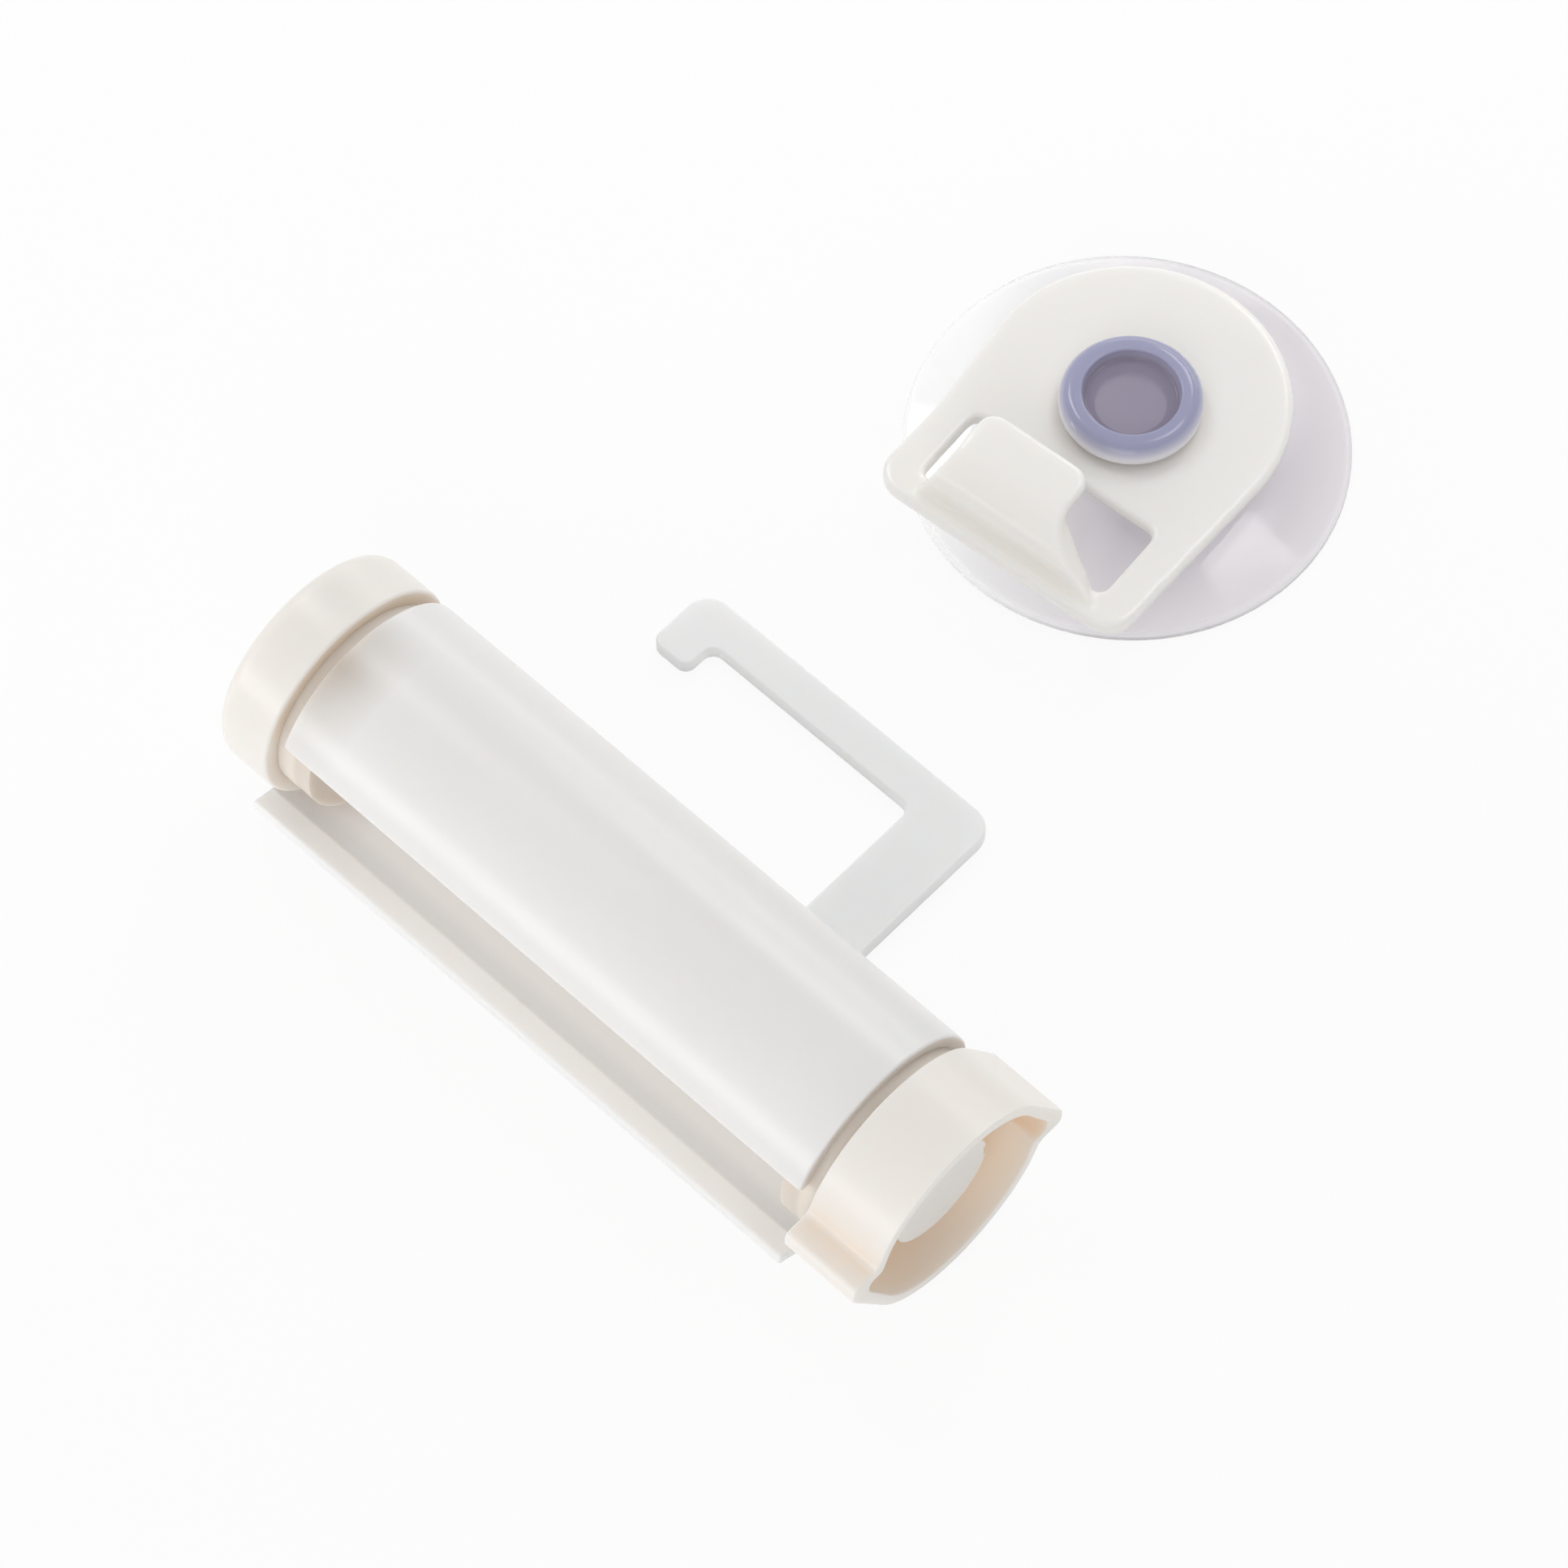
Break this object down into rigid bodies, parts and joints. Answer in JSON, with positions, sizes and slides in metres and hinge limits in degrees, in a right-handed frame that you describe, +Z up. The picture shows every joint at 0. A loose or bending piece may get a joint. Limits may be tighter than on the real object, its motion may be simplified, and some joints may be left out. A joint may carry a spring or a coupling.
{
  "type": "toothpaste tube squeezer",
  "caption": "Winding tube squeezer with slotted spindle, winged knob and hanger arm, beside a suction cup with a hook plate.",
  "frame": {"origin": "on the flat underside of the casing, straight below the spindle line at the middle of the casing's length", "axes": "+X along the spindle towards the open winged knob, +Y towards the hanger arm and the suction hook, +Z up"},
  "size_m": [0.0955, 0.1276, 0.0273],
  "materials": {
    "casing_plastic": "moulded, soft gloss, slightly translucent grey white",
    "cream_plastic": "moulded, soft gloss, warm cream",
    "hook_plastic": "moulded, glossy, warm white",
    "cup_vinyl": "clear soft vinyl with a pale violet tint"
  },
  "bodies": {
    "case": {"casing": "casing_plastic", "suction_cup": "cup_vinyl"},
    "winder": {"spindle": "cream_plastic", "end_cap": "cream_plastic", "knob": "cream_plastic", "knob_plug": "cream_plastic"},
    "hook": {"hook_plate": "hook_plastic"}
  },
  "joints": [
    {"name": "spindle_spin", "type": "hinge", "parent": "case", "child": "winder", "pos_m": [0, 0, 0.01392], "axis": [1, 0, 0], "continuous": true},
    {"name": "plate_swivel", "type": "hinge", "parent": "case", "child": "hook", "pos_m": [-0.0052, 0.0866, 0.0073], "axis": [0, 0, 1], "continuous": true}
  ]
}
